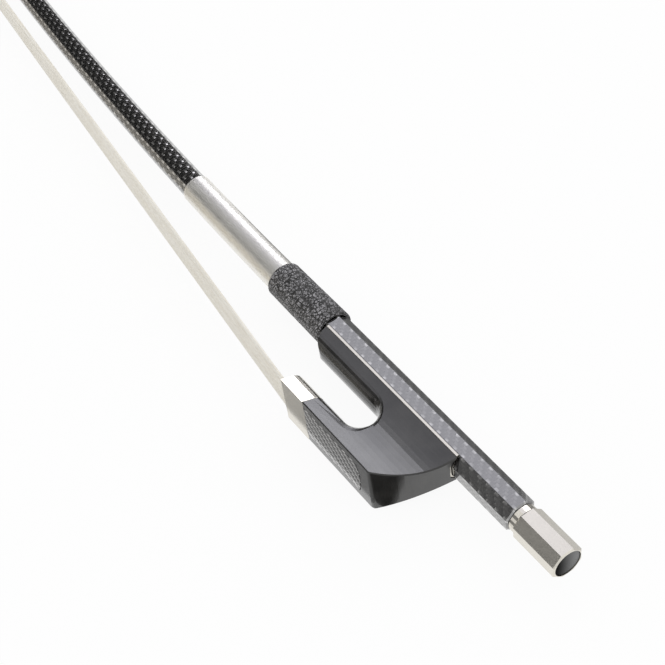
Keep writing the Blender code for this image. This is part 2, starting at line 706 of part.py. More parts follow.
def make_wedge():
    """Spreads the hair against the ferrule's flat side."""
    top = CHANNEL_ROOF + GLUE
    front = FERRULE_FRONT - TENON_SETBACK
    rings = []
    for x in (front - WEDGE_LENGTH, front):
        share = (x - SLIDE_FRONT - FIT) / (FERRULE_FRONT - SLIDE_FRONT - FIT)
        hair = HAIR_IN_FROG + (HAIR_IN_FERRULE - HAIR_IN_FROG) * share
        bottom = hair - HAIR_THICKNESS / 2 - GLUE
        half = hair_half_width(x) - FIT
        crown = min(half, ferrule_half(top) - FERRULE_WALL - FIT)
        rings.append([Vector((x, y, z)) for y, z in ((top, -crown), (bottom, -half),
                                                      (bottom, half), (top, crown))])
    return loft("ferrule_wedge", rings)


def make_slide():
    slide = slide_block("slide", 0.0, SLIDE_FRONT, FROG_BOTTOM)
    step = box("step", (FERRULE_REAR - GLUE, FROG_BOTTOM - FERRULE_WALL - GLUE, -FROG_BOTTOM_HALF),
               (FERRULE_FRONT, FROG_BOTTOM + CUT, FROG_BOTTOM_HALF))
    return cut(slide, step)


def make_frog_hair_pieces():
    """The tied end of the hair in the frog's mortise, and the plug in front of it."""
    top = CHANNEL_ROOF - FROG_MORTISE_DEPTH + FIT
    half = FROG_MORTISE_HALF_WIDTH - FIT
    rear = FROG_MORTISE_REAR + FIT
    knot = box("frog_hair_knot", (rear, top, -half), (rear + KNOT_LENGTH, SLIDE_INSIDE - FIT, half))
    plug = box("frog_hair_plug", (rear + KNOT_LENGTH + FIT, top, -half),
               (FROG_MORTISE_REAR + FROG_MORTISE_LENGTH - FIT, CHANNEL_ROOF, half))
    return knot, plug


def lining_floor():
    """The hair side of the stick's lower flat with the lining under it."""
    return BUTT_FLATS / 2 + FIT + LINING


def lining_screw_places():
    return FROG_REAR + REAR_SCREW_SETBACK, TONGUE_TIP - FRONT_SCREW_SETBACK


def lining_corners(offset):
    """Half of the lining's section on the octagon grown by offset: cheek edge, then corner."""
    flat = BUTT_FLATS / 2 + offset
    reach = flat * (1 + EIGHTH)
    edge = FROG_TOP
    for step in range(12):
        edge = reach - side_half(edge)
    return (edge, reach - edge), (flat, flat * EIGHTH)


def make_underslide():
    """The metal lining between the frog and the lower three flats of the stick."""
    inner_edge, inner_corner = lining_corners(FIT)
    outer_edge, outer_corner = lining_corners(FIT + LINING)
    half = [inner_corner, inner_edge, outer_edge, outer_corner]
    outline = half + [(y, -z) for y, z in reversed(half)]
    lining = along_x("underslide", outline, (FROG_REAR + LINING_SETBACK, TONGUE_TIP - LINING_SETBACK))
    low = BUTT_FLATS / 2 - CUT / 2
    high = lining_floor() + CUT
    hole = post("shank_hole", EYELET_X, EYELET_SHANK_RADIUS + FIT, low, high)
    seats = []
    for x in lining_screw_places():
        seats.append(post("screw_hole", x, SCREW_SHANK_RADIUS + GLUE, low, high))
        seats.append(post("head_seat", x, SCREW_HEAD_RADIUS + GLUE, low,
                          BUTT_FLATS / 2 + FIT + SCREW_HEAD_DEPTH))
    return cut(lining, hole, *seats)


def make_lining_screws():
    made = []
    for name, x in zip(("underslide_screw_rear", "underslide_screw_front"), lining_screw_places()):
        top = BUTT_FLATS / 2 + FIT + GLUE / 2
        bottom = lining_floor() + LINING_SCREW_LENGTH - GLUE
        under_head = BUTT_FLATS / 2 + FIT + SCREW_HEAD_DEPTH - GLUE / 2
        turns = [2 * math.pi * k / 12 for k in range(12)]
        profile = [(top, SCREW_HEAD_RADIUS), (under_head, SCREW_HEAD_RADIUS),
                   (under_head, SCREW_SHANK_RADIUS), (bottom, SCREW_SHANK_RADIUS)]
        made.append(loft(name, [[Vector((x + r * math.cos(a), y, r * math.sin(a))) for a in turns]
                                for y, r in profile]))
    return made


def make_eyelet():
    """The brass nut of the screw: its head runs in the stick's slot, its shank is in the frog."""
    neck = BUTT_FLATS / 2 + FIT + LINING + GLUE
    half = EYELET_LENGTH / 2
    side = [(half, -EYELET_CROWN / 2), (half / 2, -EYELET_CROWN), (-half / 2, -EYELET_CROWN),
            (-half, -EYELET_CROWN / 2), (-half, neck - FIT - LINING - 2 * GLUE),
            (half, neck - FIT - LINING - 2 * GLUE)]
    head = loft("eyelet", [[Vector((EYELET_X + x, y, z)) for x, y in side]
                           for z in (-EYELET_HALF_WIDTH, EYELET_HALF_WIDTH)])
    shank = post("shank", EYELET_X, EYELET_SHANK_RADIUS, SCREW_RADIUS, EYELET_SHANK_END)
    bore = turned("thread", [(EYELET_X - EYELET_LENGTH, SCREW_RADIUS + FIT),
                             (EYELET_X + EYELET_LENGTH, SCREW_RADIUS + FIT)], SMALL_SIDES)
    return cut(fuse(head, shank), bore)


def hair_ring(centre, across, half_width, thickness):
    """A slightly rounded section of the ribbon, with across pointing out of its flat side."""
    points = []
    for side, level in ((-1, -0.35), (-0.9, -0.5), (0.9, -0.5), (1, -0.35),
                        (1, 0.35), (0.9, 0.5), (-0.9, 0.5), (-1, 0.35)):
        points.append(centre + across * (level * thickness) + Vector((0, 0, side * half_width)))
    return points


def make_hair():
    """The ribbon from the knot in the frog, out of the ferrule and straight to the head."""
    start = FROG_MORTISE_REAR + FIT + KNOT_LENGTH + FIT
    outwards = Vector((0, 1, 0))
    rings = []
    for x, y in ((start, HAIR_IN_FROG), (SLIDE_FRONT + FIT, HAIR_IN_FROG),
                 (FERRULE_FRONT, HAIR_IN_FERRULE)):
        rings.append(hair_ring(Vector((x, y, 0)), outwards, hair_half_width(x), HAIR_THICKNESS))
    turn_u = HEAD_MORTISE_START + FIT + HEAD_HAIR_THICKNESS / 2
    turn_v = HEAD_DEPTH + FIT + HEAD_HAIR_THICKNESS / 2 - HAIR_BEND
    leave = head_place(turn_u - HAIR_BEND, turn_v + HAIR_BEND, 0)
    mouth = Vector((FERRULE_FRONT, HAIR_IN_FERRULE, 0))
    run = leave - mouth
    outwards = Vector((-run.y, run.x, 0)).normalized()
    steps = 24
    for i in range(1, steps + 1):
        share = i / steps
        x = mouth.x + run.x * share
        thickness = HAIR_THICKNESS + (HEAD_HAIR_THICKNESS - HAIR_THICKNESS) * share
        half = hair_mouth_half() + (HEAD_HAIR_HALF - hair_mouth_half()) * share ** HAIR_GATHER
        rings.append(hair_ring(mouth + run * share, outwards, half, thickness))
    steps = 5
    for i in range(1, steps + 1):
        turn = math.pi / 2 * (1 - i / steps)
        centre = head_place(turn_u - HAIR_BEND * (1 - math.cos(turn)), turn_v + HAIR_BEND * math.sin(turn), 0)
        across = head_place(math.cos(turn), math.sin(turn), 0) - head_place(0, 0, 0)
        rings.append(hair_ring(centre, across, HEAD_HAIR_HALF, HEAD_HAIR_THICKNESS))
    knot_top = HEAD_UNDERSIDE - HEAD_MORTISE_DEPTH + FIT + HEAD_KNOT_DEPTH
    rings.append(hair_ring(head_place(turn_u, knot_top + FIT, 0), across, HEAD_HAIR_HALF,
                           HEAD_HAIR_THICKNESS))
    return loft("hair", rings)


def empty(name, parent=None):
    made = bpy.data.objects.new(name, None)
    bpy.context.collection.objects.link(made)
    made.parent = parent
    return made


def dress(items, finish, parent):
    """Gives pieces their finish, their smooth shading and the part that they belong to."""
    for item in items:
        item.data.materials.clear()
        item.data.materials.append(finish.copy() if finish.users else finish)
        item.data.shade_smooth()
        item.data.set_sharp_from_angle(angle=SMOOTH_ANGLE)
        item.parent = parent


def lay_down(frame):
    """Moves the whole bow so that it rests on Z = 0 over the middle of its own box."""
    bpy.context.view_layer.update()
    corners = [item.matrix_world @ Vector(corner) for item in bpy.data.objects
               if item.type == "MESH" for corner in item.bound_box]
    low = Vector([min(c[i] for c in corners) for i in range(3)])
    high = Vector([max(c[i] for c in corners) for i in range(3)])
    frame.location = (-(low.x + high.x) / 2, -(low.y + high.y) / 2, -low.z)


def build():
    clear_scene()
    carbon = material("carbon", (0.035, 0.032, 0.034), 0.22)
    black = material("black_composite", (0.018, 0.018, 0.019), 0.16)
    silver = material("nickel_silver", (0.72, 0.71, 0.67), 0.24, 1.0)
    steel = material("steel", (0.45, 0.45, 0.46), 0.35, 1.0)
    brass = material("brass", (0.70, 0.50, 0.20), 0.30, 1.0)
    wire = material("winding_wire", (0.80, 0.79, 0.76), 0.28, 1.0)
    leather = material("leather", (0.030, 0.026, 0.024), 0.60)
    hair = material("horsehair", (0.78, 0.72, 0.62), 0.50)
    ivory = material("face_plate", (0.80, 0.76, 0.66), 0.35)
    timber = material("maple", (0.55, 0.38, 0.22), 0.60)

    bow = empty("bow_frame")
    frog_axis = empty("frog_axis", bow)
    screw_axis = empty("screw_axis", bow)

    liner, plate, head_knot, head_plug = make_head_pieces()
    dress([make_stick()], carbon, bow)
    dress([liner], black, bow)
    dress([plate], ivory, bow)
    dress([head_plug], timber, bow)
    dress([head_knot, make_hair()], hair, bow)
    dress([make_leather()], leather, bow)
    dress([make_winding()], wire, bow)
    dress([make_bush()], brass, bow)

    frog_knot, frog_plug = make_frog_hair_pieces()
    dress([make_frog()], black, frog_axis)
    dress([make_slide()], carbon, frog_axis)
    dress([make_ferrule(), make_underslide(), *make_lining_screws()], silver, frog_axis)
    dress([make_wedge(), frog_plug], timber, frog_axis)
    dress([frog_knot], hair, frog_axis)
    dress([make_eyelet()], brass, frog_axis)

    shell, core = make_button()
    dress([shell], silver, screw_axis)
    dress([core], black, screw_axis)
    dress([make_screw()], steel, screw_axis)
    lay_down(bow)


build()
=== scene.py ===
"""Looks of the double bass bow: finer soft pieces, procedural materials, studio and camera."""
import json
import math
import random

import bpy
from mathutils import Matrix, Vector, noise
from mathutils.bvhtree import BVHTree


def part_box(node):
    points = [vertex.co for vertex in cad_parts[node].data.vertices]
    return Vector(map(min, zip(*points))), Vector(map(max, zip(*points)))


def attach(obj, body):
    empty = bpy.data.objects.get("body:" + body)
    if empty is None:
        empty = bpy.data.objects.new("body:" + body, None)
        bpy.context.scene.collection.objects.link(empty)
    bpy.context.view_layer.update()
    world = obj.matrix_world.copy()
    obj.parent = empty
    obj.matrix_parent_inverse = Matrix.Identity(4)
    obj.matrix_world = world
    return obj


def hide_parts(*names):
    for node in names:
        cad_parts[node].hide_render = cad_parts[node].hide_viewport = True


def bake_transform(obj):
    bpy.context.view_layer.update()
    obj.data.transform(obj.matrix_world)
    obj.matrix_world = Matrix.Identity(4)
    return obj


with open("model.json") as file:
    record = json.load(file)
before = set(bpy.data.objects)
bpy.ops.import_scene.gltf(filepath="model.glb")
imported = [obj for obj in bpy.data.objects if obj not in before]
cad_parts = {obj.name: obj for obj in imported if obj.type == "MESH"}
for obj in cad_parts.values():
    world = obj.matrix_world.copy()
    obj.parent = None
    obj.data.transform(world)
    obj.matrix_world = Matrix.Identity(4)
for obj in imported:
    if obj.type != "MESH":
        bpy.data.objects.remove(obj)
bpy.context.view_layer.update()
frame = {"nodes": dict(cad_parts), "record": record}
nodes = frame["nodes"]

# Places read from the CAD: the screw's axis and the butt's face, which the sizes below count from
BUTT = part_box("stick")[0].x
SCREW_LOW, SCREW_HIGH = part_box("adjusting_screw")
AXIS_Y = (SCREW_LOW.y + SCREW_HIGH.y) / 2
AXIS_Z = (SCREW_LOW.z + SCREW_HIGH.z) / 2
FROG = Vector((BUTT + 0.070, AXIS_Y, AXIS_Z))
CAMBER_START = BUTT + 0.1408
CAMBER_RADIUS = 2.985
OCTAGON_END = 0.1220
ROUNDING = 0.0080
ROUND_RADIUS = 0.00655
TIP_RADIUS = 0.0043
STICK_LENGTH = 0.6300

# The winding: its wire, what lies under it, how far its turns stand out, and its cut ends
WIRE = 0.00034
WIRE_BED = 0.00015
WIRE_RELIEF = 0.00003
WIRE_CUT = 0.0001
WIRE_GAP = 0.00012
WINDING_SIDES = 64
STEPS_A_TURN = 6

# The leather: its ends from the butt, then its radius, rounding, thickness and loss along it
LEATHER_START, LEATHER_END = 0.1152, 0.1516
LEATHER_RADIUS = 0.0083
LEATHER_EDGE = 0.0007
LEATHER_WALL = 0.0013
LEATHER_TAPER = 0.0003
LEATHER_TUCK = 0.0002
LEATHER_ROWS, LEATHER_SIDES = 190, 250

# The hair: places felt along it, its closed body's sides, its strands and where they are hidden
HAIR_STATIONS = 150
HANK_SIDES = 72
STRANDS_A_FACE, STRAND_SIDES = 66, 5
IN_FERRULE, IN_HEAD = 0.0035, 0.0020

# One tow of the carbon cloth along the stick, and the tows round it
WEAVE = 0.0012
TOWS_ROUND = 32


def place(x, y, z):
    """A point of the stick's cambered cross-section at x from the butt."""
    bend = max(BUTT + x - CAMBER_START, 0.0)
    slope = math.atan(bend / CAMBER_RADIUS)
    return Vector((BUTT + x + y * math.sin(slope),
                   AXIS_Y + y * math.cos(slope) - bend ** 2 / 2 / CAMBER_RADIUS, AXIS_Z + z))


def stick_radius(x):
    """The round stick's radius at x from the butt, where the winding and the leather lie on it."""
    share = (x - OCTAGON_END) / (STICK_LENGTH - OCTAGON_END)
    return ROUND_RADIUS + (TIP_RADIUS - ROUND_RADIUS) * share


# ---------------------------------------------------------------- materials
class Shader:
    """A short way to write a material's node tree."""

    def __init__(self, name):
        self.material = bpy.data.materials.new(name)
        self.material.use_nodes = True
        self.tree = self.material.node_tree
        self.bsdf = self.tree.nodes["Principled BSDF"]
        self.position = None

    def node(self, kind, **settings):
        made = self.tree.nodes.new(kind)
        for key, value in settings.items():
            setattr(made, key, value)
        return made

    def feed(self, socket, value):
        if hasattr(value, "is_output"):
            self.tree.links.new(value, socket)
        else:
            socket.default_value = value

    def math(self, operation, a, b=0.0):
        made = self.node("ShaderNodeMath", operation=operation)
        for socket, value in zip(made.inputs, (a, b)):
            self.feed(socket, value)
        return made.outputs[0]

    def object(self):
        if self.position is None:
            self.position = self.node("ShaderNodeTexCoord").outputs["Object"]
        return self.position

    def split(self):
        made = self.node("ShaderNodeSeparateXYZ")
        self.feed(made.inputs[0], self.object())
        return made.outputs

    def scaled(self, scale):
        made = self.node("ShaderNodeMapping")
        self.feed(made.inputs["Vector"], self.object())
        made.inputs["Scale"].default_value = scale
        return made.outputs[0]

    def noise(self, scale, detail=3.0, rough=0.5, vector=None):
        made = self.node("ShaderNodeTexNoise")
        self.feed(made.inputs["Vector"], vector or self.object())
        made.inputs["Scale"].default_value = scale
        made.inputs["Detail"].default_value = detail
        made.inputs["Roughness"].default_value = rough
        return made.outputs["Fac"]

    def voronoi(self, scale, feature="F1"):
        made = self.node("ShaderNodeTexVoronoi", feature=feature)
        self.feed(made.inputs["Vector"], self.object())
        made.inputs["Scale"].default_value = scale
        return made.outputs["Distance"]

    def span(self, value, low, high, to_low=0.0, to_high=1.0, smooth=False):
        made = self.node("ShaderNodeMapRange")
        if smooth:
            made.interpolation_type = "SMOOTHSTEP"
        for socket, item in zip(made.inputs, (value, low, high, to_low, to_high)):
            self.feed(socket, item)
        return made.outputs[0]

    def mix(self, share, first, second):
        made = self.node("ShaderNodeMix", data_type="RGBA")
        self.feed(made.inputs["Factor"], share)
        for socket, value in zip(made.inputs[6:8], (first, second)):
            self.feed(socket, (*value, 1.0) if isinstance(value, tuple) else value)
        return made.outputs[2]

    def bump(self, height, distance):
        made = self.node("ShaderNodeBump")
        self.feed(made.inputs["Height"], height)
        made.inputs["Distance"].default_value = distance
        return made.outputs[0]

    def set(self, **values):
        names = {"colour": "Base Color", "rough": "Roughness", "metal": "Metallic", "ior": "IOR",
                 "specular": "Specular IOR Level", "coat": "Coat Weight", "coat_rough": "Coat Roughness",
                 "coat_ior": "Coat IOR", "normal": "Normal",
                 "sheen": "Sheen Weight", "sheen_rough": "Sheen Roughness"}
        for key, value in values.items():
            if key == "colour" and isinstance(value, tuple):
                value = (*value, 1.0)
            self.feed(self.bsdf.inputs[names[key]], value)
        return self.material


def carbon(name, flat=False, coat_ior=3.1, metal=0.8, relief=0.00010):
    """Twill of flat black tows, two up and two down, under a clear gloss coat."""
    s = Shader(name)
    x, y, z = s.split()
    along = s.math("DIVIDE", s.math("SUBTRACT", x, BUTT), WEAVE)
    if flat:
        around = s.math("DIVIDE", s.math("SUBTRACT", z, AXIS_Z), WEAVE)
    else:
        bend = s.math("MAXIMUM", s.math("SUBTRACT", x, CAMBER_START), 0.0)
        drop = s.math("DIVIDE", s.math("MULTIPLY", bend, bend), 2 * CAMBER_RADIUS)
        off_axis = s.math("ADD", s.math("SUBTRACT", y, AXIS_Y), drop)
        angle = s.math("ARCTAN2", s.math("SUBTRACT", z, AXIS_Z), off_axis)
        head = s.math("GREATER_THAN", x, BUTT + STICK_LENGTH)
        around = s.math("ADD",
                        s.math("MULTIPLY", s.math("SUBTRACT", 1.0, head),
                               s.math("MULTIPLY", angle, TOWS_ROUND / 2 / math.pi)),
                        s.math("MULTIPLY", head, s.math("DIVIDE", s.math("SUBTRACT", y, AXIS_Y), WEAVE)))
    cell_a, cell_b = s.math("FLOOR", along), s.math("FLOOR", around)
    run = s.math("SUBTRACT", s.math("FLOORED_MODULO", s.math("SUBTRACT", along, cell_b), 4.0), 3.0)
    lap = s.math("SUBTRACT", cell_a, s.math("SUBTRACT", around, 1.0))
    lap = s.math("SUBTRACT", s.math("FLOORED_MODULO", lap, 4.0), 1.0)
    axial = s.math("GREATER_THAN", run, -1.0)
    across_a = s.math("SUBTRACT", s.math("FRACT", around), 0.5)
    across_b = s.math("SUBTRACT", s.math("FRACT", along), 0.5)

    def crown(length, across):
        low = s.math("ADD", s.math("MULTIPLY", length, length),
                     s.math("MULTIPLY", s.math("MULTIPLY", across, across), 1.6))
        return s.math("SUBTRACT", 1.0, low)

    def either(first, second):
        return s.math("ADD", s.math("MULTIPLY", axial, first),
                      s.math("MULTIPLY", s.math("SUBTRACT", 1.0, axial), second))

    height = either(crown(run, across_a), crown(lap, across_b))
    fibre = either(s.noise(1.0, 2.0, vector=s.scaled((400.0, 9000.0, 9000.0))),
                   s.noise(1.0, 2.0, vector=s.scaled((9000.0, 400.0, 400.0))))
    dash = s.math("MULTIPLY", s.span(s.math("ABSOLUTE", across_a), 0.44, 0.28, smooth=True),
                  s.span(s.math("ABSOLUTE", run), 0.96, 0.74, smooth=True))
    top = s.math("MULTIPLY", axial, dash)
    if not flat:
        # Painted glint: the pale tows show most near the octagon's edges, as if the edges caught the light,
        # and least mid-facet.
        off_ridge = s.math("PINGPONG", s.math("SUBTRACT", angle, math.pi / 8), math.pi / 8)
        edge_glint = s.span(off_ridge, 0.04, 0.20, 0.72, 0.12, smooth=True)
        patch = s.span(s.noise(330.0, 2.0), 0.40, 0.60, 0.4, 1.1)
        shaft = s.span(x, BUTT + OCTAGON_END, BUTT + OCTAGON_END + ROUNDING)
        plain = s.math("SUBTRACT", shaft, s.math("MULTIPLY", head, 0.6))
        # Beyond the octagon every second tow lies dull, so the dashes stand like bricks
        second = s.math("LESS_THAN", s.math("FLOORED_MODULO", cell_b, 2.0), 0.5)
        sunk = s.math("SUBTRACT", 1.0, s.math("MULTIPLY", shaft, s.math("MULTIPLY", second, 0.9)))
        shown = s.math("MULTIPLY", s.math("MAXIMUM", s.math("MULTIPLY", edge_glint, patch), plain), sunk)
        top = s.math("MULTIPLY", top, shown)
    tow = s.mix(s.span(fibre, 0.3, 0.7), (0.42, 0.41, 0.40), (0.70, 0.69, 0.67))
    tow = s.mix(top, (0.022, 0.020, 0.018), tow)
    normal = s.bump(height, relief)
    s.set(colour=tow, metal=metal, rough=s.span(fibre, 0.2, 0.8, 0.13, 0.19), normal=normal,
          coat=1.0, coat_rough=0.03, coat_ior=coat_ior)
    return s.material


def black(name):
    """Polished black composite with very faint streaks and polishing marks."""
    s = Shader(name)
    cloud = s.noise(140.0, 4.0)
    streak = s.noise(1.0, 3.0, vector=s.scaled((120.0, 900.0, 900.0)))
    colour = s.mix(s.span(cloud, 0.35, 0.7), (0.014, 0.0135, 0.0125), (0.026, 0.025, 0.023))
    colour = s.mix(s.span(streak, 0.55, 0.8, 0.0, 0.5), colour, (0.034, 0.032, 0.030))
    normal = s.bump(s.noise(900.0, 2.0), 0.000004)
    s.set(colour=colour, rough=s.span(streak, 0.3, 0.7, 0.28, 0.38), normal=normal,
          specular=0.3, coat=1.0, coat_rough=0.15, coat_ior=1.5)
    return s.material


def eye(name):
    """The button's black end, with a painted reflection: grey on one side, fading to black on the other."""
    s = Shader(name)
    across = s.node("ShaderNodeSeparateXYZ")
    s.feed(across.inputs[0], s.node("ShaderNodeTexCoord").outputs["Generated"])
    # Painted reflection: the end is painted grey on one side and black on the other.
    painted_reflection = s.math("SUBTRACT", 1.0, s.span(across.outputs["Y"], 0.05, 0.95, smooth=True))
    cloud = s.noise(300.0, 3.0)
    colour = s.mix(painted_reflection, (0.001, 0.001, 0.001), (0.235, 0.237, 0.235))
    colour = s.mix(s.span(cloud, 0.4, 0.7, 0.0, 0.06), colour, (0.05, 0.05, 0.05))
    s.set(colour=colour, rough=s.span(cloud, 0.3, 0.7, 0.22, 0.30), ior=1.08, specular=0.3,
          normal=s.bump(cloud, 0.00001))
    return s.material


def polished(name, colour, rough, grain=(60.0, 2600.0, 2600.0)):
    """Metal with fine grinding marks and a little uneven dullness."""
    s = Shader(name)
    lines = s.noise(1.0, 3.0, vector=s.scaled(grain))
    cloud = s.noise(220.0, 3.0)
    shade = tuple(c * 0.95 for c in colour)
    s.set(colour=s.mix(s.span(cloud, 0.35, 0.7), shade, colour), metal=1.0,
          rough=s.span(cloud, 0.3, 0.75, rough * 0.92, rough * 1.08), normal=s.bump(lines, 0.0000012))
    return s.material


def leather(name):
    """Black grained leather: pebbles, pores, a soft sheen, and a pale painted sheen on what stands proud.
    """
    s = Shader(name)
    pebble = s.voronoi(1350.0)
    crease = s.voronoi(520.0, "DISTANCE_TO_EDGE")
    fine = s.noise(4200.0, 3.0)
    height = s.math("ADD", s.math("MULTIPLY", s.span(crease, 0.0, 0.14, smooth=True), 0.5),
                    s.math("ADD", s.math("MULTIPLY", s.math("SUBTRACT", 1.0, pebble), 0.9),
                           s.math("MULTIPLY", fine, 0.5)))
    # Painted sheen: the pebbles' tops are painted pale grey as if catching the light; they are also
    # smoother.
    wear_and_painted_sheen = s.span(height, 0.95, 1.50)
    colour = s.mix(wear_and_painted_sheen, (0.010, 0.0095, 0.009), (0.46, 0.45, 0.47))
    colour = s.mix(s.span(s.noise(260.0, 3.0), 0.45, 0.65, 0.0, 0.6), colour, (0.020, 0.018, 0.017))
    s.set(colour=colour, rough=s.span(wear_and_painted_sheen, 0.0, 1.0, 0.55, 0.34), specular=0.8,
          normal=s.bump(height, 0.00040), sheen=0.15, sheen_rough=0.4)
    return s.material


def horsehair(name):
    """Pale hair: fine streaks along it, from ivory to a warmer cream."""
    s = Shader(name)
    streak = s.noise(1.0, 4.0, 0.6, vector=s.scaled((14.0, 5200.0, 5200.0)))
    broad = s.noise(1.0, 3.0, vector=s.scaled((6.0, 420.0, 420.0)))
    colour = s.mix(s.span(streak, 0.3, 0.7), (0.76, 0.71, 0.61), (0.95, 0.92, 0.84))
    colour = s.mix(s.span(broad, 0.4, 0.75, 0.0, 0.55), colour, (0.97, 0.95, 0.90))
    s.set(colour=colour, rough=0.42, specular=0.45, normal=s.bump(streak, 0.00003))
    return s.material


def wood(name):
    """Pale plugs and wedge, with grain along the bow."""
    s = Shader(name)
    grain = s.noise(1.0, 5.0, 0.6, vector=s.scaled((260.0, 2200.0, 2200.0)))
    colour = s.mix(s.span(grain, 0.3, 0.7), (0.38, 0.23, 0.12), (0.62, 0.44, 0.26))
    s.set(colour=colour, rough=s.span(grain, 0.2, 0.8, 0.5, 0.7), normal=s.bump(grain, 0.00008))
    return s.material


def ivory(name):
    """The head's pale face plate, faintly clouded."""
    s = Shader(name)
    cloud = s.noise(1.0, 4.0, vector=s.scaled((70.0, 500.0, 260.0)))
    colour = s.mix(s.span(cloud, 0.35, 0.7), (0.70, 0.65, 0.53), (0.80, 0.77, 0.68))
    s.set(colour=colour, rough=s.span(cloud, 0.2, 0.8, 0.28, 0.42), normal=s.bump(cloud, 0.00002))
    return s.material


FINISH = {
    "carbon": carbon("carbon"),
    "carbon_weave": carbon("carbon_weave", flat=True, coat_ior=1.4, metal=0.45, relief=0.00006),
    "black_composite": black("black_composite"),
    "nickel_silver": polished("nickel_silver", (0.78, 0.745, 0.67), 0.22),
    "winding_wire": polished("winding_wire", (0.92, 0.90, 0.85), 0.38, grain=(9000.0, 600.0, 600.0)),
    "steel": polished("steel", (0.45, 0.45, 0.46), 0.34, grain=(5000.0, 300.0, 300.0)),
    "brass": polished("brass", (0.72, 0.52, 0.22), 0.3),
    "leather": leather("leather"),
    "horsehair": horsehair("horsehair"),
    "face_plate": ivory("face_plate"),
    "maple": wood("maple"),
}


def dress(obj, slot):
    """Give an object the finish of its material slot."""
    obj.data.materials.clear()
    obj.data.materials.append(FINISH[slot])


for entry in frame["record"]["subparts"]:
    dress(nodes[entry["node"]], entry["material_slot"])

nodes["button_core"].data.materials[0] = eye("polished_eye")


# ---------------------------------------------------------------- finer pieces
def mesh_piece(name, points, faces, slot):
    """A smooth-shaded object with its finish and its slot."""
    mesh = bpy.data.meshes.new(name)
    mesh.from_pydata([tuple(p) for p in points], [], faces)
    mesh.update()
    made = bpy.data.objects.new(name, mesh)
    bpy.context.scene.collection.objects.link(made)
    mesh.shade_smooth()
    dress(made, slot)
    return made


def grid_faces(rows, columns):
    """Quads between rows of points, each row closed round on itself."""
    faces = []
    for i in range(rows - 1):
        for j in range(columns):
            k = (j + 1) % columns
            faces.append((i * columns + j, i * columns + k, (i + 1) * columns + k, (i + 1) * columns + j))
    return faces


def make_winding():
    """The silver wire, turn pressed against turn, as one ridged sleeve on the stick's taper."""
    low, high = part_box("winding")
    start, end = low.x - BUTT + WIRE_CUT, high.x - BUTT - WIRE_CUT
    rows = round((end - start) / WIRE) * STEPS_A_TURN
    around = WINDING_SIDES
    points = []
    for i in range(rows + 1):
        x = start + (end - start) * i / rows
        top = stick_radius(x) + WIRE_BED + WIRE
        for j in range(around):
            turn = 2 * math.pi * j / around
            across = (i / STEPS_A_TURN + j / around) % 1.0 * 2 - 1
            r = top - WIRE_RELIEF * across ** 2
            points.append(place(x, r * math.cos(turn), r * math.sin(turn)))
    first = len(points)
    for x in (end, start):
        for j in range(around):
            turn = 2 * math.pi * j / around
            r = stick_radius(x) + WIRE_GAP
            points.append(place(x, r * math.cos(turn), r * math.sin(turn)))
    faces = grid_faces(rows + 1, around)
    for j in range(around):
        k = (j + 1) % around
        faces.append((rows * around + j, rows * around + k, first + k, first + j))
        faces.append((first + around + j, first + around + k, k, j))
    piece = mesh_piece("winding_wire_coil", points, faces, "winding_wire")
    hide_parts("winding")
    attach(piece, "stick")


def make_leather():
    """The grip's sleeve with rounded ends and its pebbled grain."""
    start, end, outer, edge = LEATHER_START, LEATHER_END, LEATHER_RADIUS, LEATHER_EDGE
    rows, columns = LEATHER_ROWS, LEATHER_SIDES
    profile = []
    for i in range(7):
        turn = math.pi / 2 * i / 6
        profile.append((start + edge * (1 - math.cos(turn)), outer - edge * (1 - math.sin(turn))))
    for i in range(1, rows):
        share = i / rows
        profile.append((start + edge + (end - start - 2 * edge) * share, outer - LEATHER_TAPER * share))
    for i in range(7):
        turn = math.pi / 2 * i / 6
        profile.append((end - edge * (1 - math.sin(turn)),
                        outer - LEATHER_TAPER - edge * (1 - math.cos(turn))))
    first = (start + LEATHER_TUCK, outer - LEATHER_WALL)
    last = (end - LEATHER_TUCK, stick_radius(end) + LEATHER_TUCK)
    profile = [first] + profile + [last]
    points = []
    for i, (x, r) in enumerate(profile):
        for j in range(columns):
            turn = 2 * math.pi * j / columns
            spot = Vector((x, r * math.cos(turn), r * math.sin(turn)))
            pebble = noise.voronoi(spot * 1500)[0][0]
            swell = noise.noise(spot * 420)
            body = 0.0 if i in (0, len(profile) - 1) else 1.0
            rise = (-0.00006 * pebble + 0.00005 * swell - 0.00003) * body
            points.append(place(x, (r + rise) * math.cos(turn), (r + rise) * math.sin(turn)))
    piece = mesh_piece("grip_leather_grained", points, grid_faces(len(profile), columns), "leather")
    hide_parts("grip_leather")
    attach(piece, "stick")


def hair_stations():
    """Middle, half thickness and half width of the hank at places along it, felt on the CAD solid."""
    source = nodes["hair"].data
    tree = BVHTree.FromPolygons([v.co for v in source.vertices], [p.vertices for p in source.polygons])
    low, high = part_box("hair")
    found = []
    for i in range(HAIR_STATIONS + 1):
        x = low.x + 0.0003 + (high.x - low.x - 0.0006) * i / HAIR_STATIONS
        under = tree.ray_cast(Vector((x, low.y - 0.01, AXIS_Z)), Vector((0, 1, 0)))[0]
        over = tree.ray_cast(Vector((x, high.y + 0.01, AXIS_Z)), Vector((0, -1, 0)))[0]
        middle = (under.y + over.y) / 2
        edge = tree.ray_cast(Vector((x, middle, low.z - 0.01)), Vector((0, 0, 1)))[0]
        found.append((x, middle, (over.y - under.y) / 2, AXIS_Z - edge.z))
    return found


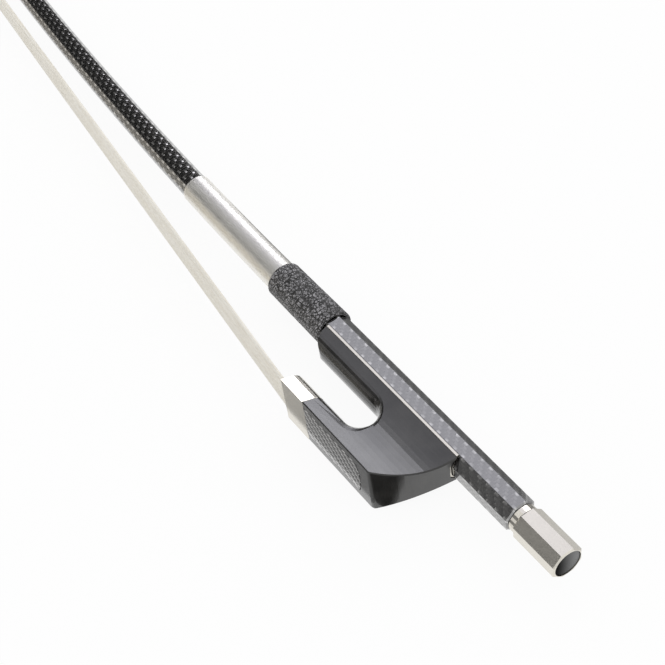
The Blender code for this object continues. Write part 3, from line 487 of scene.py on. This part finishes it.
def make_hair():
    """The hank as single strands laid side by side on both faces of a closed body of its form."""
    stations = hair_stations()
    points, columns = [], HANK_SIDES
    for x, middle, half_thick, half_wide in stations:
        for j in range(columns):
            turn = 2 * math.pi * j / columns
            across, up = math.cos(turn), math.sin(turn)
            across = math.copysign(abs(across) ** 0.45, across)
            up = math.copysign(abs(up) ** 0.45, up)
            edge_glint = 1.0 - 0.05 * (j % 2)
            points.append((x, middle + 0.86 * half_thick * up * edge_glint, AXIS_Z + 0.975 * half_wide * across))
    faces = grid_faces(len(stations), columns)
    faces.append(tuple(range(columns)))
    faces.append(tuple(reversed(range(len(points) - columns, len(points)))))

    rng = random.Random(7)
    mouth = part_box("ferrule")[1].x - IN_FERRULE
    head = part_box("head_plate")[0].x + IN_HEAD
    free = [s for s in stations if mouth < s[0] < head]
    sides, per_face = STRAND_SIDES, STRANDS_A_FACE
    for face in (-1, 1):
        for n in range(per_face):
            lane = (2 * (n + 0.5 + rng.uniform(-0.3, 0.3)) / per_face - 1) * 0.992
            thick = rng.uniform(0.00013, 0.00021)
            sink = rng.uniform(0.0, 0.00012)
            drift, phase, waves = rng.uniform(0.0, 0.00022), rng.uniform(0, 6.3), rng.uniform(1.5, 4.5)
            first = len(points)
            for k, (x, middle, half_thick, half_wide) in enumerate(free):
                share = k / (len(free) - 1)
                wave = drift * math.sin(math.pi * share) * math.sin(phase + waves * 6.3 * share)
                round_edge = 1 - abs(lane) ** 9
                y = middle + face * max(half_thick * (0.30 + 0.70 * round_edge) - thick - sink, 0.0)
                z = AXIS_Z + lane * (half_wide - thick) + wave
                for j in range(sides):
                    turn = 2 * math.pi * j / sides
                    points.append((x, y + thick * math.cos(turn), z + thick * math.sin(turn)))
            for f in grid_faces(len(free), sides):
                faces.append(tuple(first + i for i in f))
            faces.append(tuple(first + i for i in range(sides)))
            faces.append(tuple(reversed([first + (len(free) - 1) * sides + i for i in range(sides)])))
    piece = mesh_piece("hair_strands", points, faces, "horsehair")
    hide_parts("hair")
    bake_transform(piece)


make_hair()
make_winding()
make_leather()

# ---------------------------------------------------------------- studio and camera
CARD_LIFT = 0.0004
HEEL_EDGE = 0.031
HEEL_STEP = 0.0007


def camera():
    """The photograph's view, given from the butt's centre along the screw, hair and up."""
    data = bpy.data.cameras.new("photo_camera")
    data.sensor_width = 36.0
    data.lens = 85.94
    data.clip_start = 0.01
    made = bpy.data.objects.new("photo_camera", data)
    bpy.context.scene.collection.objects.link(made)
    right = Vector((-0.572836, -0.812483, -0.108308))
    down = Vector((-0.575250, 0.492626, -0.652999))
    forward = Vector((0.583905, -0.311757, -0.749575))
    made.matrix_world = Matrix.Translation((BUTT - 0.25246, AXIS_Y + 0.19741, AXIS_Z + 0.47119)) @ Matrix(
        (right, -down, -forward)).transposed().to_4x4()
    bpy.context.scene.camera = made


def seen_share(tree):
    """1 for the rays that see the background: from the camera, in gloss and through glass."""
    path = tree.nodes.new("ShaderNodeLightPath")
    first, second = tree.nodes.new("ShaderNodeMath"), tree.nodes.new("ShaderNodeMath")
    tree.links.new(path.outputs["Is Camera Ray"], first.inputs[0])
    tree.links.new(path.outputs["Is Glossy Ray"], first.inputs[1])
    tree.links.new(first.outputs[0], second.inputs[0])
    tree.links.new(path.outputs["Is Transmission Ray"], second.inputs[1])
    second.use_clamp = True
    return second.outputs[0]


def stage_piece(name, points, material):
    """One flat face that belongs to the studio and not to the bow."""
    mesh = bpy.data.meshes.new(name)
    mesh.from_pydata(points, [], [tuple(range(len(points)))])
    mesh.materials.append(material)
    made = bpy.data.objects.new(name, mesh)
    bpy.context.scene.collection.objects.link(made)
    return made


def floor():
    """A plain white floor that keeps the bow's soft shadow."""
    material = bpy.data.materials.new("floor")
    material.use_nodes = True
    tree = material.node_tree
    tree.nodes.clear()
    new, link = tree.nodes.new, tree.links.new
    out, mix, share = new("ShaderNodeOutputMaterial"), new("ShaderNodeMixShader"), new("ShaderNodeMath")
    diffuse, glow = new("ShaderNodeBsdfDiffuse"), new("ShaderNodeEmission")
    diffuse.inputs["Color"].default_value = (0.88, 0.88, 0.88, 1)
    glow.inputs["Strength"].default_value = 1.0
    share.operation = "MULTIPLY"
    share.inputs[1].default_value = 0.93
    link(seen_share(tree), share.inputs[0])
    link(share.outputs[0], mix.inputs[0])
    link(diffuse.outputs[0], mix.inputs[1])
    link(glow.outputs[0], mix.inputs[2])
    link(mix.outputs[0], out.inputs[0])
    stage_piece("floor", [(-6, -6, 0), (6, -6, 0), (6, 6, 0), (-6, 6, 0)], material)


def flag(name, grey, points, glow=(0, 0, 0)):
    """A card that only gloss and metal show: dark ones give their dark parts, a glowing one a tint."""
    material = bpy.data.materials.new(name)
    material.use_nodes = True
    bsdf = material.node_tree.nodes["Principled BSDF"]
    bsdf.inputs["Base Color"].default_value = (grey, grey, grey, 1)
    bsdf.inputs["Roughness"].default_value = 1.0
    bsdf.inputs["Specular IOR Level"].default_value = 0.0
    bsdf.inputs["Emission Color"].default_value = (*glow, 1)
    bsdf.inputs["Emission Strength"].default_value = 1.0
    made = stage_piece(name, [FROG + Vector(p) for p in points], material)
    made.visible_camera = False
    made.visible_diffuse = False
    made.visible_shadow = False


def floor_card(name, grey, along, across):
    """A card just above the floor, from one x to another and from one y to another."""
    (x0, x1), (y0, y1), level = along, across, CARD_LIFT - AXIS_Z
    flag(name, grey, [(x0, y0, level), (x1, y0, level), (x1, y1, level), (x0, y1, level)])


def strip_light(name, towards, edge_normal, distance, width, level):
    """A soft box whose one long side lies in a plane through the bow."""
    towards = Vector(towards).normalized()
    edge_normal = Vector(edge_normal).normalized()
    side = edge_normal.cross(towards).normalized()
    up = towards.cross(side).normalized()
    half = distance * math.tan(math.asin(abs(edge_normal.dot(towards))))
    data = bpy.data.lights.new(name, "AREA")
    data.shape = "RECTANGLE"
    data.size, data.size_y = width, 2 * half
    data.energy = level * math.pi * width * 2 * half
    data.color = (0.975, 0.975, 1.06)
    made = bpy.data.objects.new(name, data)
    bpy.context.scene.collection.objects.link(made)
    made.matrix_world = Matrix.Translation(FROG + towards * distance) @ Matrix(
        (side, up, towards)).transposed().to_4x4()


def studio():
    """White surroundings, one strip light overhead and cards that the gloss and the metal mirror."""
    world = bpy.data.worlds.new("studio")
    bpy.context.scene.world = world
    world.use_nodes = True
    tree = world.node_tree
    tree.nodes.clear()
    new, link = tree.nodes.new, tree.links.new
    white, room = new("ShaderNodeBackground"), new("ShaderNodeBackground")
    white.inputs["Strength"].default_value = 1.0
    white.inputs["Color"].default_value = (1, 1, 1, 1)
    room.inputs["Color"].default_value = (1, 1, 1, 1)
    room.inputs["Strength"].default_value = 0.90
    mix, out = new("ShaderNodeMixShader"), new("ShaderNodeOutputWorld")
    link(seen_share(tree), mix.inputs[0])
    link(room.outputs[0], mix.inputs[1])
    link(white.outputs[0], mix.inputs[2])
    link(mix.outputs[0], out.inputs[0])
    strip_light("strip_light", (0.566, -0.661, 0.502), (0, 0.819, 0.574), 3.0, 1.08, 2.8)
    flag("far_flag", 0.05, [(4, -5, 0.3), (4, -5, 5), (4, 5, 5), (4, 5, 2.33), (4, 0, 0.02)])
    flag("side_flag", 0.235, [(-3.0, 4, 1.0), (3.3, 4, 1.0), (3.3, 4, 4.2), (-3.0, 4, 4.2)])
    flag("roof_flag", 0.10, [(-6, -2.6, 4), (1.35, -2.6, 4), (1.35, 2.2, 4), (-6, 2.2, 4)])
    flag("back_flag", 0.16, [(0.2, -4, 0.25), (6, -4, 0.25), (6, -4, 1.35), (0.2, -4, 1.35)])
    flag("roof_card", 0.0, [(1.4, -2.6, 4), (3.9, -2.6, 4), (3.9, 0.2, 4), (1.4, 0.2, 4)],
         glow=(1.06, 1.06, 1.15))
    floor_card("back_card", 0.24, (-0.047, 0.15), (-2, -0.016))
    floor_card("button_card", 0.70, (-0.6, -0.047), (-2, -0.016))
    floor_card("front_card", 0.55, (-0.03, 0.2), (0.037, 2))
    floor_card("heel_card", 0.04, (-0.6, -0.03), (HEEL_EDGE, 2))
    for k in range(3):
        floor_card(f"heel_shade_{k + 1}", 0.25 + 0.22 * k, (-0.6, -0.03),
                   (HEEL_EDGE - HEEL_STEP * (k + 1), HEEL_EDGE - HEEL_STEP * k))


camera()
floor()
studio()
bpy.context.scene.view_settings.view_transform = "Standard"

bpy.context.view_layer.update()
